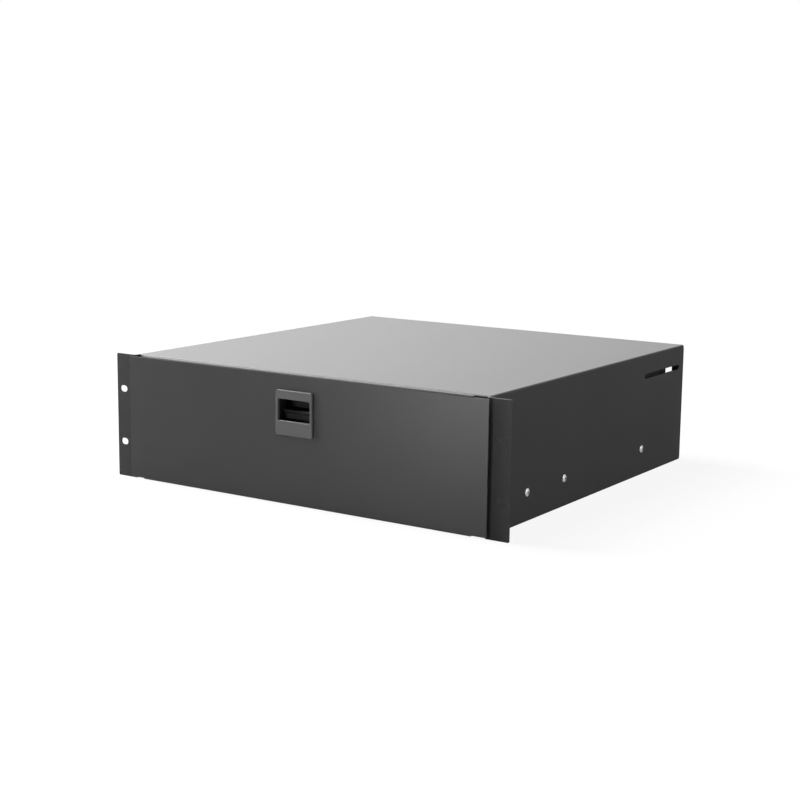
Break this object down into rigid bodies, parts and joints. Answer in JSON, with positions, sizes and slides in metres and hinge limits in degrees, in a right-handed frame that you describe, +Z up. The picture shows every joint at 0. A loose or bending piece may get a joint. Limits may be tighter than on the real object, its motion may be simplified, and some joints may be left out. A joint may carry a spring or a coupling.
{
  "type": "rack drawer",
  "caption": "Sliding drawer for a 19-inch rack: folded steel case with slotted ears, steel tray on ball-bearing slides, and a flush finger latch in a plain front panel.",
  "frame": {"origin": "middle of the four ear slots, on the rear faces of the ears, where they meet the rack's front rails", "axes": "+Z up, -Y out of the rack's front, +X to the right seen from the front"},
  "size_m": [0.4826, 0.447, 0.1328],
  "materials": {
    "black_powder_coat": "fine-textured satin powder coat",
    "zinc_steel": "bright zinc plate",
    "cage_steel": "plain pressed steel",
    "ball_steel": "polished",
    "rivet_aluminium": "plain bright",
    "zinc_fixings": "zinc plate",
    "latch_plastic": "fine moulded grain",
    "bolt_zinc": "die-cast, plated",
    "spring_steel": "drawn wire",
    "black_rubber": "matt"
  },
  "bodies": {
    "case": {"case_shell": "black_powder_coat", "front_brace": "black_powder_coat", "rear_brace": "black_powder_coat", "slide_outer_left": "zinc_steel", "slide_outer_right": "zinc_steel", "case_rivets_left": "rivet_aluminium", "case_rivets_right": "rivet_aluminium", "case_mandrels_left": "zinc_fixings", "case_mandrels_right": "zinc_fixings", "slide_bumper_left": "black_rubber", "slide_bumper_right": "black_rubber"},
    "drawer": {"drawer_tray": "black_powder_coat", "tray_front_wall": "black_powder_coat", "tray_rear_wall": "black_powder_coat", "front_panel": "black_powder_coat", "panel_studs": "zinc_fixings", "panel_nuts": "zinc_fixings", "slide_inner_left": "zinc_steel", "slide_inner_right": "zinc_steel", "tray_rivets_left": "rivet_aluminium", "tray_rivets_right": "rivet_aluminium", "tray_mandrels_left": "zinc_fixings", "tray_mandrels_right": "zinc_fixings", "latch_housing": "latch_plastic", "latch_pin": "zinc_fixings", "latch_spring": "spring_steel", "bolt_cover": "zinc_steel", "cover_screws": "zinc_fixings"},
    "middle_left": {"slide_middle_left": "zinc_steel"},
    "outer_cage_body_left": {"outer_cage_left": "cage_steel", "outer_balls_left": "ball_steel"},
    "inner_cage_body_left": {"inner_cage_left": "cage_steel", "inner_balls_left": "ball_steel"},
    "middle_right": {"slide_middle_right": "zinc_steel"},
    "outer_cage_body_right": {"outer_cage_right": "cage_steel", "outer_balls_right": "ball_steel"},
    "inner_cage_body_right": {"inner_cage_right": "cage_steel", "inner_balls_right": "ball_steel"},
    "paddle": {"latch_paddle": "latch_plastic"},
    "bolt": {"latch_bolt": "bolt_zinc"}
  },
  "joints": [
    {"name": "drawer_slide", "type": "slide", "parent": "case", "child": "drawer", "axis": [0, -1, 0], "range_m": [0, 0.4]},
    {"name": "middle_left_slide", "type": "slide", "parent": "case", "child": "middle_left", "axis": [0, -1, 0], "range_m": [0, 0.2]},
    {"name": "outer_cage_left_slide", "type": "slide", "parent": "case", "child": "outer_cage_body_left", "axis": [0, -1, 0], "range_m": [0, 0.1]},
    {"name": "inner_cage_left_slide", "type": "slide", "parent": "case", "child": "inner_cage_body_left", "axis": [0, -1, 0], "range_m": [0, 0.3]},
    {"name": "middle_right_slide", "type": "slide", "parent": "case", "child": "middle_right", "axis": [0, -1, 0], "range_m": [0, 0.2]},
    {"name": "outer_cage_right_slide", "type": "slide", "parent": "case", "child": "outer_cage_body_right", "axis": [0, -1, 0], "range_m": [0, 0.1]},
    {"name": "inner_cage_right_slide", "type": "slide", "parent": "case", "child": "inner_cage_body_right", "axis": [0, -1, 0], "range_m": [0, 0.3]},
    {"name": "bolt_slide", "type": "slide", "parent": "drawer", "child": "bolt", "axis": [0, 0, -1], "range_m": [0, 0.00427], "stiffness_N_per_m": 600, "springref_m": -0.005, "deforming": ["latch_spring"]},
    {"name": "paddle_hinge", "type": "hinge", "parent": "drawer", "child": "paddle", "pos_m": [0, 0.0028, 0.0133], "axis": [-1, 0, 0], "range_deg": [0, 20]}
  ],
  "couplings": [
    {"joint": "middle_left_slide", "follows": "drawer_slide", "ratio": 0.5},
    {"joint": "outer_cage_left_slide", "follows": "drawer_slide", "ratio": 0.25},
    {"joint": "inner_cage_left_slide", "follows": "drawer_slide", "ratio": 0.75},
    {"joint": "middle_right_slide", "follows": "drawer_slide", "ratio": 0.5},
    {"joint": "outer_cage_right_slide", "follows": "drawer_slide", "ratio": 0.25},
    {"joint": "inner_cage_right_slide", "follows": "drawer_slide", "ratio": 0.75},
    {"joint": "paddle_hinge", "follows": "bolt_slide", "rad_per_m": 81.65}
  ]
}
